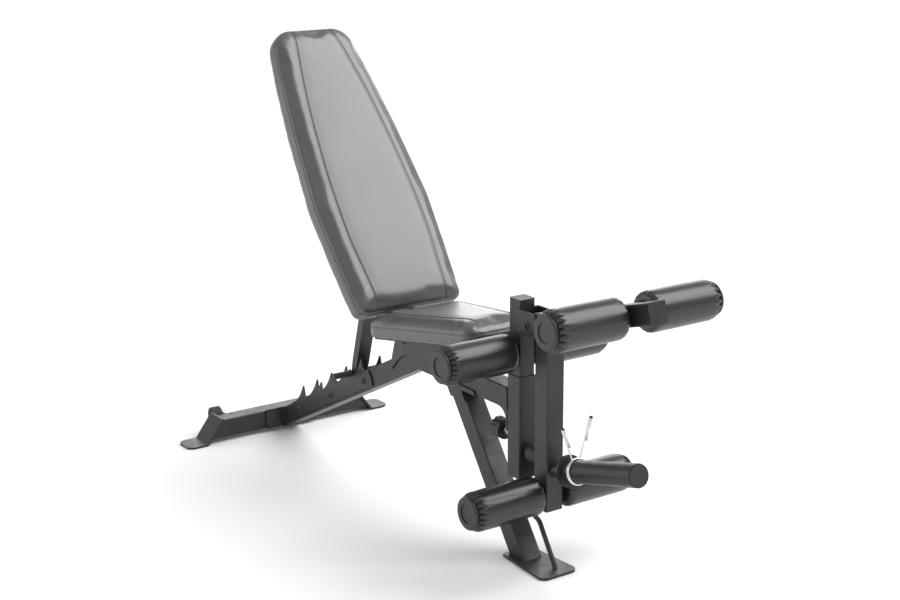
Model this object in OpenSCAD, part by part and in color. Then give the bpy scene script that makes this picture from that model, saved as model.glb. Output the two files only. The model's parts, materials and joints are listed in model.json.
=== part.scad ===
// Adjustable weight bench with a leg developer.
// X runs forward along the bench, Y to the sitter's left, Z up, in millimetres.
// The origin is on the floor, at the middle of the whole bench.
// Points in the side view are written [x, z], with x measured from the axis of the upright
// receiver, which itself stands at post_x.

/* [Tubes] */
// Side of the square frame tubes
frame_tube = 50; // [46:1:50]
// Side of the square tubes of the receiver, lever and arm
front_tube = 45; // [44:1:45]
// Side of the post that slides inside the receiver
post_size = 40; // [36:1:40]
// Wall of the square tubes
tube_wall = 2.2; // [1.5:0.1:2.2]
// Outer radius along the edges of the square tubes
tube_edge = 3.5; // [2.5:0.5:4]
// Thickness of the side plates and gussets
plate = 4; // [3:0.5:4]

/* [Rear stand] */
// Length of the slanted foot plates along the bench
foot_len = 70; // [60:1:90]
// Half the distance over the outer ends of the rear feet
stand_half = 309; // [295:1:320]
// Radius of the transport wheels
wheel_r = 25; // [20:1:26]

/* [Spine and ladder] */
// Slope of the spine
spine_pitch = 26.5; // [26:0.1:27]
// Distance between two notches of the ladder
notch_pitch = 82.8; // [80:0.1:84]
// Height of a tooth above the spine
tooth_h = 29; // [20:1:30]
// Number of teeth on each ladder plate
teeth = 5; // [4:1:5]

/* [Backrest] */
// Angle of the backrest above the horizontal
back_angle = 53.3; // [53:0.1:54]
// Length of the back pad
back_len = 762; // [740:2:780]
// Thickness of the back pad with its board
back_depth = 54; // [50:1:56]

/* [Seat] */
// Upward tilt of the seat towards the knees
seat_pitch = 8.2; // [7:0.1:9]
// Length of the seat pad
seat_len = 346; // [330:2:350]
// Width of the seat pad at the back
seat_rear_w = 267; // [240:1:280]
// Width of the seat pad at the front
seat_front_w = 184; // [160:1:200]
// Thickness of the seat pad with its board
seat_depth = 50; // [46:1:52]

/* [Front end] */
// Height of the beam's underside
beam_z = 341; // [341:1:342]
// Height of the top of the post
post_top = 595; // [590:1:600]
// Upward tilt of the roller arm
arm_pitch = 16.1; // [15:0.1:17]
// Upward tilt of the weight sleeve
sleeve_pitch = 15; // [14:0.5:16]
// Radius of the weight sleeve
sleeve_r = 25; // [24:0.5:25.5]
// Radius of the foam rollers
roller_r = 43; // [38:1:43]
// Radius of the roller rods
rod_r = 12.5; // [10:0.5:12.5]
// Half the length over a pair of rollers
roller_out = 208; // [180:1:215]

/* [Hidden] */
$fn = 64;

// Colours
frame_grey = [0.2, 0.19, 0.19];
dark_grey = [0.12, 0.12, 0.12];
vinyl_grey = [0.28, 0.28, 0.29];
wood_tan = [0.55, 0.43, 0.3];
steel_grey = [0.45, 0.45, 0.46];
chrome_grey = [0.78, 0.78, 0.8];

// Clearances: fixed parts touch, turning parts run on run_gap, moving bodies keep free_gap
run_gap = 0.06;
free_gap = 0.4;

// Levels and lines of the frame
stand_x = -1070;
stand_z = 35;
foot_t = 5;
foot_slant = 36.5;
foot_tab = 56;
foot_rise = 66;
foot_y = stand_half - foot_tab;
apex_x = -371;
spine_x = -1045;
spine_start = [spine_x, beam_z - (apex_x - spine_x) * tan(spine_pitch)];
half_tube = frame_tube / 2;
half_front = front_tube / 2;
half_post = post_size / 2;
cheek_out = half_tube + plate;

// Side-view directions of a line that rises at an angle, and of its upward normal
function along(a) = [cos(a), sin(a)];
function above(a) = [-sin(a), cos(a)];
function spine_pt(u, v) = spine_start + u * along(spine_pitch) + v * above(spine_pitch);

// Backrest hinge, and the back pad's own directions: s up the pad, r to the rear of its front face
hinge = [-430, 405];
hinge_s = -63.7;
hinge_r = 57;
back_up = along(180 - back_angle);
back_rear = above(180 - back_angle);
back_foot = hinge - hinge_s * back_up - hinge_r * back_rear;
function back_pt(s, r) = back_foot + s * back_up + r * back_rear;

// Ladder notches and the strut that rests in them
first_tooth = 181;
rest_notch = 3;
pin_r = 8;
pin_end = 76;
strut_foot = spine_pt(first_tooth + rest_notch * notch_pitch + 9.4, half_tube * 2 + pin_r + 0.4);
strut_head_s = 168;
strut_head_r = 74;
strut_head = back_pt(strut_head_s, strut_head_r);
strut_line = strut_head - strut_foot;
strut_w = 36;
strut_d = 22;

// Seat corner under the sitter's back
seat_corner = [-402.6, 426.6];
board_t = 10;
board_inset = 8;

// Front end
receiver_low = 192.6;
receiver_high = 422.4;
post_low = 206;
knee_z = 476.6;
pin_z = 280;
pin_holes = [pin_z, pin_z - 25, pin_z - 50];
pivot = [56.6, 549.6];
pivot_r = 6;
bracket_wall = 5;
arm_tail = 18;
arm_len = 387;
arm_rod_at = pivot + 310 * along(arm_pitch);
lever_x = 97.1;
lever_low = 148.2;
ankle_at = [lever_x, 182.2];
sleeve_at = [166.7, 250.9];
flange_t = 5;
sleeve_len = 228.4;
cap_t = 3;
leg_top = [-219, beam_z];
leg_foot = [18, 6];
leg_line = leg_foot - leg_top;
leg_pitch = atan2(leg_line.y, leg_line.x);
leg_depth = 47;
roller_in = 31;
roller_cap_r = 36;
roller_cap_t = 7.6;
pin_nose_r = 5;
stub_r = 16;
spigot_len = 70;
bush_r = 9;

// Transport wheels, side plates and bolts
wheel_in = 176;
wheel_w = 22;
axle_r = 4;
ladder_bolt_u = [130.5, 314.8, 499];
frame_bolt_r = 5;
rail_in = cheek_out + free_gap;
rail_out = rail_in + plate;
screw_r = 3;
seat_bolt_at = [20, 130];
seat_bolt_y = 42;
rail_bolt_s = [40, 260, 480];
rail_bolt_y = 60;
rail_flange_y = 78;

// The bench reaches from the transport wheels to the cap on the roller arm
wheel_at = [stand_x - half_tube - wheel_r - 1.5, 48];
arm_tip = pivot + (arm_len + cap_t) * along(arm_pitch) - half_front * above(arm_pitch);
post_x = -(wheel_at.x - wheel_r + arm_tip.x) / 2;

// Placing helpers

module placed() {
    translate([post_x, 0, 0]) children();
}

module both_sides() {
    for (side = [0, 1])
        mirror([0, side, 0]) children();
}

// Local X points along a line that rises at the angle pitch from the point at
module tilted(at, pitch) {
    translate([at.x, 0, at.y]) rotate([0, -pitch, 0]) children();
}

module on_back() {
    tilted(back_foot, 180 - back_angle) children();
}

module on_seat() {
    tilted(seat_corner, seat_pitch) children();
}

module on_sleeve() {
    tilted(sleeve_at, sleeve_pitch) children();
}

// A side-view outline made into a plate that starts at y0
module side_plate(y0, t) {
    translate([0, y0 + t, 0]) rotate([90, 0, 0]) linear_extrude(t) children();
}

// A round bar across the bench
module cross_bar(at, r, y0, y1) {
    translate([at.x, y0, at.y]) rotate([-90, 0, 0]) cylinder(r = r, h = y1 - y0);
}

// Building blocks

module round_rect(w, h, r) {
    square([w, h - 2 * r], center = true);
    square([w - 2 * r, h], center = true);
    for (x = [-1, 1], y = [-1, 1])
        translate([x * (w / 2 - r), y * (h / 2 - r)]) circle(r);
}

// Rectangular tube along X, w wide and h high
module tube_x(len, w, h) {
    rotate([90, 0, 90]) linear_extrude(len) difference() {
        round_rect(w, h, tube_edge);
        round_rect(w - 2 * tube_wall, h - 2 * tube_wall, tube_edge - tube_wall);
    }
}

module tube_z(len, w) {
    linear_extrude(len) difference() {
        round_rect(w, w, tube_edge);
        round_rect(w - 2 * tube_wall, w - 2 * tube_wall, tube_edge - tube_wall);
    }
}

// Plastic cap on the end of a square tube, standing on z = 0 with its plug below
module square_cap(w, t, plug) {
    linear_extrude(t) round_rect(w, w, tube_edge);
    translate([0, 0, -plug])
        linear_extrude(plug) round_rect(w - 2 * tube_wall, w - 2 * tube_wall, tube_edge - tube_wall);
}

// Domed bolt head with a hexagon socket, flat on z = 0
module button_head(r, h) {
    dome = (r * r + h * h) / (2 * h);
    difference() {
        rotate_extrude() intersection() {
            translate([0, h - dome]) circle(dome);
            square([r, h]);
        }
        translate([0, 0, h * 0.45]) cylinder(r = r * 0.36, h = h, $fn = 6);
    }
}

// Bolt across the bench: domed head on the right side, nut on the left
module cross_bolt(at, r, half, head_r) {
    cross_bar(at, r, -half, half);
    translate([at.x, -half, at.y]) rotate([90, 0, 0]) button_head(head_r, head_r * 0.55);
    translate([at.x, half, at.y]) rotate([-90, 0, 0]) cylinder(r = head_r, h = r, $fn = 6);
}

// Screw through a plate into a board, with its head on z = 0 and its shank below
module board_screw() {
    shank = plate + board_t - 1;
    button_head(7, 3.5);
    translate([0, 0, -shank]) cylinder(r = screw_r, h = shank);
}

// Everything on the rear side of the mitre between spine and beam
module behind_mitre() {
    tilted([apex_x, beam_z], spine_pitch / 2) translate([-800, -100, -300]) cube([800, 200, 600]);
}

// Rear stand

function plate_y(z) = foot_y - z * tan(foot_slant);

module rear_stabilizer() {
    low = stand_z - half_tube;
    high = stand_z + half_tube;
    color(frame_grey) placed() intersection() {
        translate([stand_x, -stand_half, stand_z])
            rotate([0, 0, 90]) tube_x(2 * stand_half, frame_tube, frame_tube);
        translate([stand_x - frame_tube, 0, 0]) rotate([90, 0, 90]) linear_extrude(2 * frame_tube)
            polygon([
                [-plate_y(low - 5), low - 5], [plate_y(low - 5), low - 5],
                [plate_y(high + 5), high + 5], [-plate_y(high + 5), high + 5],
            ]);
    }
}

// Bent steel foot: a slanted plate on the tube's end and a rounded tab on the floor
module foot_plate() {
    out = foot_t / cos(foot_slant);
    top = plate_y(foot_rise);
    corner = 20;
    color(frame_grey) placed() intersection() {
        translate([stand_x - foot_len / 2, 0, 0]) rotate([90, 0, 90]) linear_extrude(foot_len)
            polygon([
                [foot_y, 0], [stand_half, 0], [stand_half, foot_t],
                [plate_y(foot_t) + out, foot_t], [top + out, foot_rise], [top, foot_rise],
            ]);
        translate([stand_x, stand_half - 150, -1]) linear_extrude(100) {
            square([foot_len, 300 - 2 * corner], center = true);
            square([foot_len - 2 * corner, 300], center = true);
            for (x = [-1, 1], y = [-1, 1])
                translate([x * (foot_len / 2 - corner), y * (150 - corner)]) circle(corner);
        }
    }
}

module foot_plate_left() {
    foot_plate();
}

module foot_plate_right() {
    mirror([0, 1, 0]) foot_plate();
}

module saddle_bracket() {
    half = 76;
    high = 54;
    color(dark_grey) placed()
        translate([stand_x + half_tube, 0, stand_z + 2]) rotate([90, 0, 90])
            linear_extrude(foot_t) round_rect(2 * half, high, 3);
}

module wheel_brackets() {
    ear_r = 12;
    color(frame_grey) placed() both_sides()
        side_plate(wheel_in - 1 - plate, plate) difference() {
            union() {
                translate(wheel_at) circle(ear_r);
                translate([wheel_at.x, wheel_at.y - ear_r])
                    square([stand_x - half_tube - wheel_at.x, 2 * ear_r]);
            }
            translate(wheel_at) circle(axle_r);
        }
}

module wheel_bolts() {
    outer = wheel_in + wheel_w + 1;
    inner = wheel_in - 1 - plate;
    color(dark_grey) placed() both_sides() {
        cross_bar(wheel_at, axle_r, inner - 6, outer);
        translate([wheel_at.x, outer, wheel_at.y]) rotate([-90, 0, 0]) button_head(8, 4);
        translate([wheel_at.x, inner - 5, wheel_at.y]) rotate([-90, 0, 0]) difference() {
            cylinder(r = 7.5, h = 5, $fn = 6);
            translate([0, 0, -1]) cylinder(r = axle_r - 0.5, h = 7);
        }
    }
}

module transport_wheel() {
    groove = 2.5;
    color(dark_grey) placed() translate([wheel_at.x, wheel_in, wheel_at.y])
        rotate([-90, 0, 0]) rotate_extrude() difference() {
            translate([axle_r + run_gap, 0]) square([wheel_r - axle_r - run_gap, wheel_w]);
            for (face = [0, wheel_w])
                translate([wheel_r - 11, face]) circle(groove);
        }
}

module transport_wheel_left() {
    transport_wheel();
}

module transport_wheel_right() {
    mirror([0, 1, 0]) transport_wheel();
}

// Spine, ladder and hinge

module spine_tube() {
    color(frame_grey) placed() difference() {
        intersection() {
            tilted(spine_pt(0, half_tube), spine_pitch) translate([-60, 0, 0])
                tube_x(900, frame_tube, frame_tube);
            behind_mitre();
        }
        translate([spine_x - 95, -50, -60]) cube([100, 100, 160]);
        for (u = ladder_bolt_u)
            cross_bar(spine_pt(u, half_tube), frame_bolt_r, -half_tube - 1, half_tube + 1);
    }
}

// Outline of one tooth in the spine's own directions, tip at u
function tooth_line(u, v) = [
    [u - 58.8, v], [u - 44.8, v + 4], [u - 28, v + 11], [u - 16.8, v + 18],
    [u - 1.5, v + tooth_h], [u + 0.5, v + tooth_h], [u - 2.5, v + 17], [u - 4, v + 8], [u - 2.5, v],
];

module ladder_plate() {
    rear = 92;
    low = 8;
    nose = [495, half_tube];
    nose_r = 41;
    rising = [for (i = [0:teeth - 1]) each tooth_line(first_tooth + i * notch_pitch, frame_tube)];
    round_nose = [for (a = [36:-8:-28]) nose + nose_r * along(a)];
    color(frame_grey) placed() tilted(spine_start, spine_pitch) side_plate(half_tube, plate)
        difference() {
            polygon(concat([[rear, low + 4], [rear + 8, frame_tube]], rising, round_nose,
                [[nose.x + 30, low], [rear + 6, low]]));
            for (u = ladder_bolt_u)
                translate([u, half_tube]) circle(frame_bolt_r);
        }
}

module ladder_plate_left() {
    ladder_plate();
}

module ladder_plate_right() {
    mirror([0, 1, 0]) ladder_plate();
}

module frame_bolts() {
    color(dark_grey) placed()
        for (u = ladder_bolt_u)
            cross_bolt(spine_pt(u, half_tube), frame_bolt_r, cheek_out, 9.5);
}

// The seat pad's underside, lowered by a distance
function under_seat(x, drop) = [x, seat_corner.y + (x - seat_corner.x) * tan(seat_pitch) - drop];

// Side cheek that carries the backrest hinge and the seat
module hinge_cheek() {
    front = -252;
    round_r = 10;
    drop = plate / cos(seat_pitch);
    color(frame_grey) placed() side_plate(half_tube, plate) difference() {
        union() {
            polygon([
                [-481, 338], [-482, 315], [-470, 328], [-458, 341], [-440, 356], [-418, 367],
                [front - 30, 371], [front, 391], under_seat(front, drop),
                under_seat(-447, drop), [-457, 408], [-468, 381],
            ]);
            translate(under_seat(-447, drop + round_r)) circle(round_r);
        }
        translate(hinge) circle(pivot_r);
    }
}

module hinge_cheek_left() {
    hinge_cheek();
}

module hinge_cheek_right() {
    mirror([0, 1, 0]) hinge_cheek();
}

module hinge_bolt() {
    color(dark_grey) placed() cross_bolt(hinge, pivot_r, rail_out + free_gap, 10);
}

module seat_beam() {
    color(frame_grey) placed() difference() {
        translate([apex_x - frame_tube, 0, beam_z + half_tube])
            tube_x(-apex_x + frame_tube - half_front, frame_tube, frame_tube);
        behind_mitre();
    }
}

// Front leg and foot

module front_leg() {
    color(frame_grey) placed() difference() {
        tilted(leg_top, leg_pitch) translate([-60, 0, 0])
            tube_x(norm(leg_line) + 120, frame_tube, leg_depth);
        translate([-400, -50, beam_z]) cube([400, 100, 120]);
        translate([-100, -50, leg_foot.y - 120]) cube([300, 100, 120]);
    }
}

// Point on the leg's rear (side -1) or front (side 1) edge, a distance below the beam
function leg_edge(drop, side) =
    let (half = side * leg_depth / 2, u = (drop + half * above(leg_pitch).y) / -along(leg_pitch).y)
        leg_top + u * along(leg_pitch) + half * above(leg_pitch);

// Side plates that tie the leg to the beam
module leg_gussets() {
    color(frame_grey) placed() both_sides() side_plate(half_tube, plate)
        polygon([
            leg_edge(0, -1), leg_edge(24, -1), leg_edge(24, 1), [-189, beam_z], [-136, beam_z],
            [-138, beam_z + 6], [-144, beam_z + 10], [-250, beam_z + 10],
        ]);
}

module front_foot() {
    rear_half = 38;
    front_half = 48;
    corner = 16;
    front_x = 144;
    color(frame_grey) placed() linear_extrude(leg_foot.y) hull() {
        for (side = [-1, 1]) {
            translate([-14, side * (rear_half - 3)]) circle(3, $fn = 32);
            translate([front_x - corner, side * (front_half - corner)]) circle(corner, $fn = 32);
        }
    }
}

// Round bar swept through stops in the local XZ plane, each stop being [x, z, direction]
module swept_bar(r, stops) {
    sides = 16;
    last = len(stops) - 1;
    points = [
        for (stop = stops, i = [0:sides - 1])
            let (a = i * 360 / sides, side = above(stop[2]))
                [stop[0] + r * sin(a) * side.x, r * cos(a), stop[1] + r * sin(a) * side.y]
    ];
    walls = [
        for (k = [0:last - 1], i = [0:sides - 1])
            let (j = (i + 1) % sides)
                [k * sides + i, (k + 1) * sides + i, (k + 1) * sides + j, k * sides + j]
    ];
    ends = [[for (i = [0:sides - 1]) i], [for (i = [sides - 1:-1:0]) last * sides + i]];
    polyhedron(points, concat(walls, ends));
}

// Bent round bar that lifts the bench to roll it on its wheels
module lifting_bar() {
    bar_r = 5.5;
    bend_r = 25;
    turn = 39;
    lower_len = 100;
    upper_len = 80;
    bend_end = [lower_len + bend_r * sin(turn), bend_r * (1 - cos(turn))];
    bar_end = bend_end + upper_len * along(turn);
    bend = [for (a = [0:turn / 6:turn]) [lower_len + bend_r * sin(a), bend_r * (1 - cos(a)), a]];
    stops = concat([[-20, 0, 0]], bend, [[bar_end.x, bar_end.y, turn]]);
    color(dark_grey) placed() difference() {
        translate([111, 11, leg_foot.y]) rotate([0, -126.5, -4]) swept_bar(bar_r, stops);
        translate([50, -50, leg_foot.y - 100]) cube([150, 150, 100]);
        tilted(leg_top, leg_pitch) translate([0, -50, -leg_depth / 2]) cube([500, 100, leg_depth]);
    }
}

module rod_between(p, q, r) {
    d = q - p;
    translate(p) rotate([0, acos(d.z / norm(d)), atan2(d.y, d.x)]) cylinder(r = r, h = norm(d));
}

// Receiver

module receiver_tube() {
    color(frame_grey) placed() difference() {
        translate([0, 0, receiver_low]) tube_z(receiver_high - receiver_low, front_tube);
        translate([-half_front - 1, 0, pin_z]) rotate([0, 90, 0]) cylinder(r = pin_nose_r + 1, h = 8);
    }
}

module receiver_plug() {
    color(dark_grey) placed() translate([0, 0, receiver_low]) mirror([0, 0, 1])
        square_cap(front_tube, cap_t, 9);
}

// Corner plates under the beam, behind the receiver, with a round inner edge
module receiver_gussets() {
    fillet = 30;
    low = 290;
    corner = [-57, beam_z - fillet];
    round_corner = [for (a = [90:-10:0]) corner + fillet * along(a)];
    color(frame_grey) placed() both_sides() side_plate(half_front - plate, plate)
        polygon(concat(round_corner, [[corner.x + fillet, low], [-half_front, low],
            [-half_front, beam_z]]));
}

module pin_collar() {
    collar_r = 11;
    collar_end = -50;
    color(steel_grey) placed() translate([collar_end, 0, pin_z]) rotate([0, 90, 0])
        difference() {
            cylinder(r = collar_r, h = -half_front - collar_end);
            translate([0, 0, -1]) cylinder(r = pin_nose_r + run_gap, h = 60);
        }
}

// Spring pin with a ribbed knob; its nose stops just short of the post
module pull_pin() {
    knob_r = 23.5;
    knob = [-86, -56];
    rib_r = 4;
    ribs = 12;
    nose_end = -half_post - free_gap;
    color(dark_grey) placed() translate([knob[0], 0, pin_z]) rotate([0, 90, 0]) {
        difference() {
            cylinder(r = knob_r, h = knob[1] - knob[0]);
            for (i = [0:ribs - 1])
                rotate([0, 0, i * 360 / ribs]) translate([knob_r + 2, 0, -1])
                    cylinder(r = rib_r, h = 26);
        }
        cylinder(r = pin_nose_r, h = nose_end - knob[0]);
    }
}

// Seat

module seat_outline(inset) {
    front_corner = 34;
    rear_corner = 16;
    hull() {
        for (side = [-1, 1]) {
            translate([rear_corner, side * (seat_rear_w / 2 - rear_corner)])
                circle(rear_corner - inset, $fn = 32);
            translate([seat_len - front_corner, side * (seat_front_w / 2 - front_corner)])
                circle(front_corner - inset, $fn = 32);
        }
    }
}

module seat_pad() {
    color(vinyl_grey) placed() on_seat() translate([-9, 0, board_t])
        linear_extrude(seat_depth - board_t) seat_outline(0);
}

module seat_board() {
    color(wood_tan) placed() on_seat() difference() {
        translate([-9, 0, 0]) linear_extrude(board_t) seat_outline(board_inset);
        for (at = seat_bolt_at, side = [-1, 1])
            translate([at, side * seat_bolt_y, -1]) cylinder(r = screw_r, h = board_t);
    }
}

// Angle irons that carry the board on top of the cheeks
module seat_brackets() {
    outer = 60;
    rear = -4;
    front = 152;
    color(frame_grey) placed() on_seat() both_sides() difference() {
        translate([rear, half_tube, -plate]) cube([front - rear, outer - half_tube, plate]);
        for (at = seat_bolt_at)
            translate([at, seat_bolt_y, -plate - 1]) cylinder(r = screw_r, h = plate + 2);
    }
}

module seat_bolts() {
    color(steel_grey) placed() on_seat()
        for (at = seat_bolt_at, side = [-1, 1])
            translate([at, side * seat_bolt_y, -plate]) mirror([0, 0, 1]) board_screw();
}

// Backrest: stations of the outline are distance up the pad, half width, corner radius
back_outline = [
    [0, 147, 20], [48, 151, 22], [158, 158, 40], [280, 163, 40],
    [475, 147, 40], [613, 130, 40], [back_len - 62, 115, 62],
];
back_drop = 5;

module back_shape(inset) {
    hull() {
        for (stop = back_outline, side = [-1, 1])
            translate([max(stop[0], stop[2] - back_drop), side * (stop[1] - stop[2])])
                circle(stop[2] - inset, $fn = 40);
    }
}

module back_pad() {
    color(vinyl_grey) placed() on_back() linear_extrude(back_depth - board_t) back_shape(0);
}

module back_board() {
    color(wood_tan) placed() on_back() difference() {
        translate([0, 0, back_depth - board_t]) linear_extrude(board_t) back_shape(board_inset);
        for (s = rail_bolt_s, side = [-1, 1])
            translate([s, side * rail_bolt_y, back_depth - board_t + 1])
                cylinder(r = screw_r, h = board_t);
    }
}

// Angle-section rail behind the board; its web reaches down to the hinge
module back_rail() {
    web_r = 88;
    tip_s = 560;
    lug_r = 14;
    color(frame_grey) placed() on_back() {
        side_plate(rail_in, plate) difference() {
            union() {
                polygon([
                    [hinge_s - 4, hinge_r + lug_r - 0.5], [hinge_s + 8, hinge_r - lug_r + 2.5],
                    [-22, back_depth], [tip_s, back_depth], [tip_s, back_depth + 14],
                    [300, web_r - 12], [220, web_r], [-30, web_r - 8],
                ]);
                translate([hinge_s, hinge_r]) circle(lug_r);
            }
            translate([hinge_s, hinge_r]) circle(pivot_r + run_gap);
            translate([strut_head_s, strut_head_r]) circle(pivot_r);
        }
        difference() {
            translate([-10, rail_out, back_depth]) cube([tip_s + 10, rail_flange_y - rail_out, plate]);
            for (s = rail_bolt_s)
                translate([s, rail_bolt_y, back_depth - 1]) cylinder(r = screw_r, h = plate + 2);
        }
    }
}

module back_rail_left() {
    back_rail();
}

module back_rail_right() {
    mirror([0, 1, 0]) back_rail();
}

// Flat straps that join the two rails
module back_straps() {
    width = 40;
    color(frame_grey) placed() on_back()
        for (s = [280, 500])
            translate([s, -rail_in, back_depth]) cube([width, 2 * rail_in, plate]);
}

module back_bolts() {
    color(steel_grey) placed() on_back()
        for (s = rail_bolt_s, side = [-1, 1])
            translate([s, side * rail_bolt_y, back_depth + plate]) board_screw();
}

module strut_axle() {
    color(dark_grey) placed() cross_bolt(strut_head, pivot_r, rail_out, 9);
}

// Strut

module strut() {
    len = norm(strut_line);
    neck = 30;
    half = strut_d / 2;
    wall = 2.5;
    color(frame_grey) placed()
        tilted(strut_foot, atan2(strut_line.y, strut_line.x)) difference() {
            union() {
                side_plate(-strut_w / 2, strut_w)
                    polygon([[0, -pin_r + 0.5], [neck, -half], [len, -half], [len, half], [neck, half],
                        [0, pin_r - 0.5]]);
                cross_bar([len, 0], half, -rail_in + free_gap, rail_in - free_gap);
            }
            cross_bar([len, 0], pivot_r + run_gap, -rail_in, rail_in);
            cross_bar([0, 0], pin_r, -rail_in, rail_in);
            side_plate(-strut_w / 2 + wall, strut_w - 2 * wall)
                polygon([[neck, wall - half], [len - 2 * half, wall - half],
                    [len - 2 * half, half - wall], [neck, half - wall]]);
        }
}

// Cross pin that drops into the ladder: a middle between the plates and a grip outside each
module strut_pin() {
    color(dark_grey) placed() {
        cross_bar(strut_foot, pin_r, -half_tube + 0.3, half_tube - 0.3);
        both_sides() cross_bar(strut_foot, pin_r, rail_in, pin_end);
    }
}

// Post and pivot

module insert_post() {
    color(frame_grey) placed() difference() {
        translate([0, 0, post_low]) tube_z(post_top - cap_t - post_low, post_size);
        cross_bar([0, knee_z], rod_r, -half_post - 1, half_post + 1);
        for (z = pin_holes)
            translate([-half_post - 1, 0, z]) rotate([0, 90, 0]) cylinder(r = pin_nose_r + 0.4, h = 8);
    }
}

module post_cap() {
    color(dark_grey) placed() translate([0, 0, post_top - cap_t]) square_cap(post_size, cap_t, 9);
}

// U bracket on the front of the post, rounded below, that holds the lever's pivot
module pivot_bracket() {
    low = 526;
    high = 578;
    front = 82;
    corner = 18;
    web = 4;
    round_front = [for (a = [0:-15:-90]) [front - corner, low + corner] + corner * along(a)];
    color(frame_grey) placed() {
        both_sides() side_plate(cheek_out - bracket_wall, bracket_wall) difference() {
            polygon(concat([[half_post, low], [half_post, high], [65, high], [front, 570]], round_front));
            translate(pivot) circle(pivot_r);
        }
        translate([half_post, -cheek_out + bracket_wall, low])
            cube([web, 2 * (cheek_out - bracket_wall), high - low]);
    }
}

module pivot_bolt() {
    color(dark_grey) placed() cross_bolt(pivot, pivot_r, cheek_out, 9);
}

// Rods, caps and rollers

module roller_rod(at) {
    difference() {
        cross_bar(at, rod_r, -roller_out - free_gap, roller_out + free_gap);
        cross_bar(at, rod_r - 2, -roller_out - 1, roller_out + 1);
    }
}

// Round cap with a dished face and a rolled rim, plugged into the rod's end
module rod_cap(at) {
    both_sides() translate([at.x, roller_out + free_gap, at.y]) rotate([-90, 0, 0]) {
        rotate_extrude() difference() {
            union() {
                square([roller_cap_r - roller_cap_t / 2, roller_cap_t]);
                translate([roller_cap_r - roller_cap_t / 2, roller_cap_t / 2]) circle(roller_cap_t / 2);
            }
            translate([0, roller_cap_t - 2]) square([21, 3]);
        }
        translate([0, 0, -15]) cylinder(r = rod_r - 2, h = 15);
    }
}

module roller(at) {
    edge = 9;
    bore = rod_r + run_gap;
    len = roller_out - roller_in;
    translate([at.x, roller_in, at.y]) rotate([-90, 0, 0]) rotate_extrude() union() {
        translate([bore, 0]) square([roller_r - bore - edge, len]);
        translate([bore, edge]) square([roller_r - bore, len - 2 * edge]);
        for (y = [edge, len - edge])
            translate([roller_r - edge, y]) circle(edge);
    }
}

module knee_rod() {
    color(dark_grey) placed() roller_rod([0, knee_z]);
}

module knee_rod_caps() {
    color(dark_grey) placed() rod_cap([0, knee_z]);
}

module lever_rods() {
    color(dark_grey) placed() {
        roller_rod(arm_rod_at);
        roller_rod(ankle_at);
    }
}

module lever_rod_caps() {
    color(dark_grey) placed() {
        rod_cap(arm_rod_at);
        rod_cap(ankle_at);
    }
}

module knee_roller_left() {
    color(vinyl_grey) placed() roller([0, knee_z]);
}

module knee_roller_right() {
    color(vinyl_grey) placed() mirror([0, 1, 0]) roller([0, knee_z]);
}

module arm_roller_left() {
    color(vinyl_grey) placed() roller(arm_rod_at);
}

module arm_roller_right() {
    color(vinyl_grey) placed() mirror([0, 1, 0]) roller(arm_rod_at);
}

module ankle_roller_left() {
    color(vinyl_grey) placed() roller(ankle_at);
}

module ankle_roller_right() {
    color(vinyl_grey) placed() mirror([0, 1, 0]) roller(ankle_at);
}

// Lever and arm

module on_arm() {
    tilted(pivot, arm_pitch) children();
}

module arm_tube() {
    color(frame_grey) placed() difference() {
        on_arm() translate([-arm_tail, 0, 0]) tube_x(arm_len + arm_tail, front_tube, front_tube);
        cross_bar(pivot, bush_r, -half_front - 1, half_front + 1);
        cross_bar(arm_rod_at, rod_r, -half_front - 1, half_front + 1);
    }
}

module lever_tube() {
    color(frame_grey) placed() difference() {
        translate([lever_x, 0, lever_low]) tube_z(pivot.y - lever_low + 30, front_tube);
        on_arm() translate([-100, -60, -half_front]) cube([300, 120, 150]);
        cross_bar(ankle_at, rod_r, -half_front - 1, half_front + 1);
    }
}

module tube_caps() {
    color(dark_grey) placed() {
        on_arm() translate([arm_len, 0, 0]) rotate([0, 90, 0]) square_cap(front_tube, cap_t, 9);
        translate([lever_x, 0, lever_low]) mirror([0, 0, 1]) square_cap(front_tube, cap_t, 9);
    }
}

module pivot_bush() {
    color(steel_grey) placed() difference() {
        cross_bar(pivot, bush_r, -half_front, half_front);
        cross_bar(pivot, pivot_r + run_gap, -half_front - 1, half_front + 1);
    }
}

// Rubber stop behind the lever; its round nose rests against the receiver
module bumper() {
    r = 19;
    base = lever_x - half_front;
    nose = half_front + free_gap;
    color(dark_grey) placed() translate([nose + r, 0, 254]) {
        sphere(r);
        rotate([0, 90, 0]) cylinder(r = r, h = base - nose - r);
    }
}

// Weight sleeve

module sleeve_stub() {
    color(frame_grey) placed() difference() {
        on_sleeve() {
            translate([-70, 0, 0]) rotate([0, 90, 0]) cylinder(r = stub_r, h = 70);
            rotate([0, 90, 0]) cylinder(r = sleeve_r + 10, h = flange_t);
            rotate([0, 90, 0]) cylinder(r = sleeve_r - 3, h = flange_t + spigot_len);
        }
        translate([lever_x - 50, -60, 100]) cube([50 + half_front, 120, 300]);
    }
}

module weight_sleeve() {
    color(dark_grey) placed() on_sleeve() translate([flange_t, 0, 0]) rotate([0, 90, 0]) {
        difference() {
            cylinder(r = sleeve_r, h = sleeve_len - flange_t);
            translate([0, 0, -1]) cylinder(r = sleeve_r - 3, h = sleeve_len - flange_t - 5);
        }
        translate([0, 0, sleeve_len - flange_t]) cylinder(r = sleeve_r - 1, h = cap_t);
    }
}

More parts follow.
